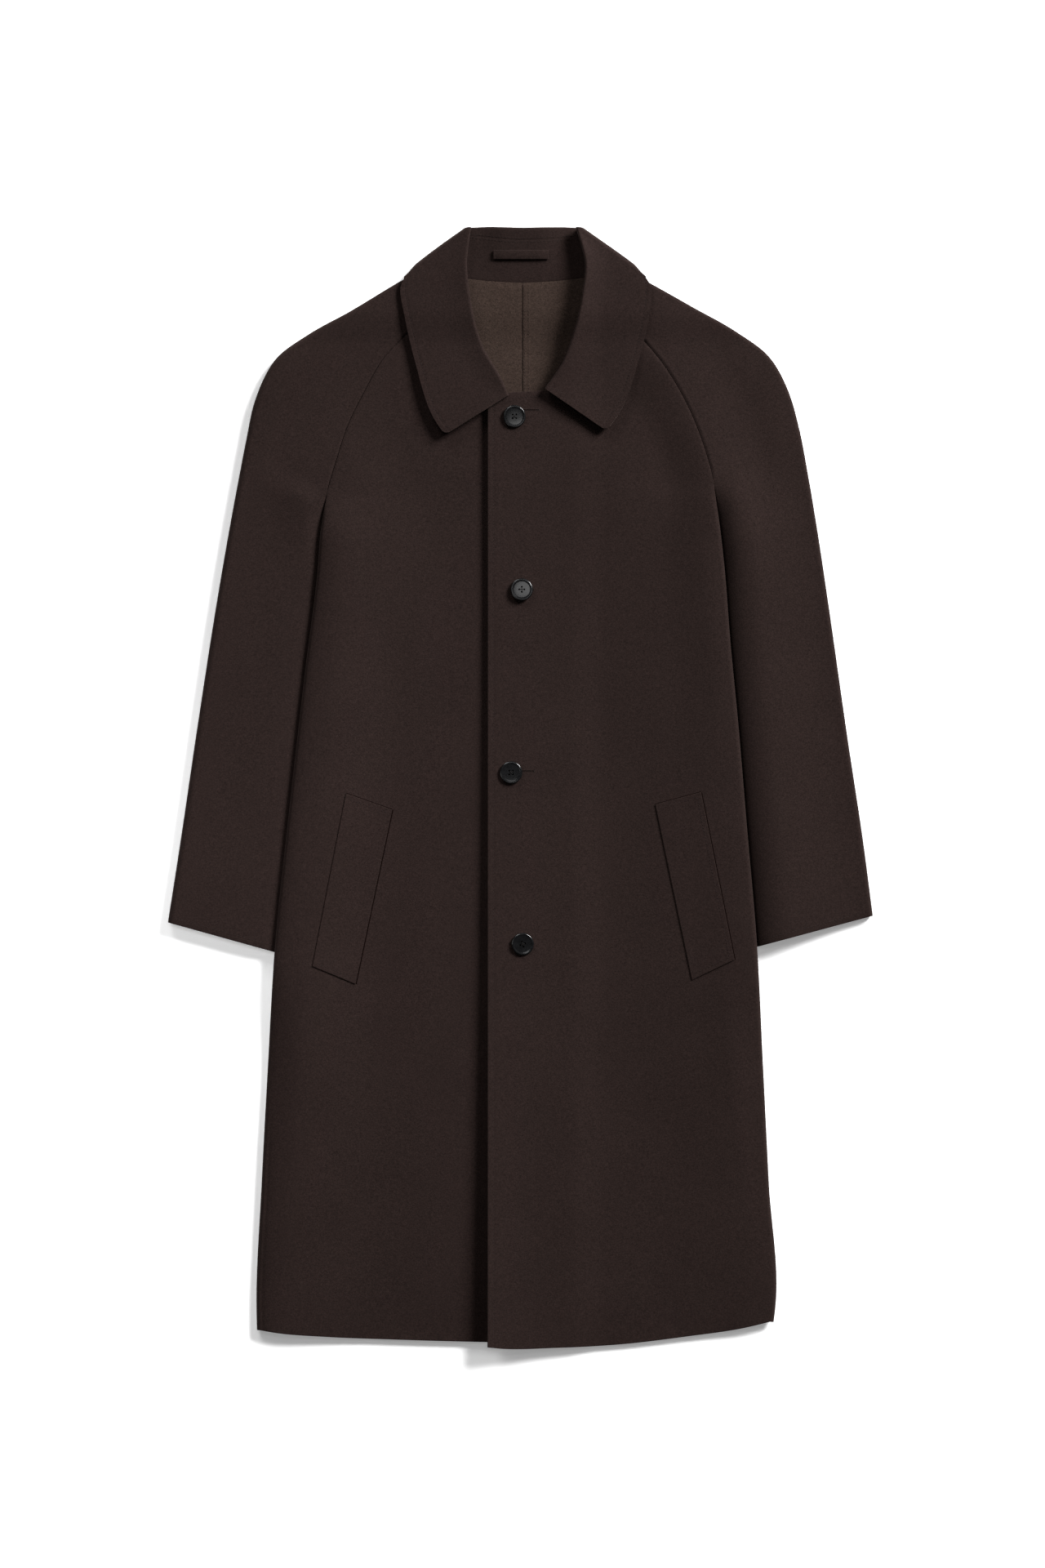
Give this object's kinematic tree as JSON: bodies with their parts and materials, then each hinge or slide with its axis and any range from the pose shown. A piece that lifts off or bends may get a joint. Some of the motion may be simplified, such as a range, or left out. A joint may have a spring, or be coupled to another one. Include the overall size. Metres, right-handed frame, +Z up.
{
  "type": "reversible coat",
  "caption": "Dark brown reversible wool overcoat with raglan sleeves, a turned-down collar, slanted pocket welts and a buttoned front, laid out flat with its front side up.",
  "frame": {"origin": "centre of the laid-out coat's bounding box, on the surface it lies on", "axes": "+X to the wearer's left, +Y from the hem to the collar, +Z up from the surface"},
  "size_m": [0.7515, 1.1969, 0.0229],
  "materials": {
    "dark_wool": "matt double-faced wool with a short smooth nap",
    "black_button": "polished black"
  },
  "bodies": {
    "root": {"front_right": "dark_wool", "front_left": "dark_wool", "back_right": "dark_wool", "back_left": "dark_wool", "sleeve_right": "dark_wool", "sleeve_left": "dark_wool", "collar_fall": "dark_wool", "collar_stand": "dark_wool", "hanger_loop": "dark_wool", "pocket_welt_right": "dark_wool", "pocket_welt_left": "dark_wool", "button_1": "black_button", "button_2": "black_button", "button_3": "black_button", "button_4": "black_button"}
  },
  "joints": []
}
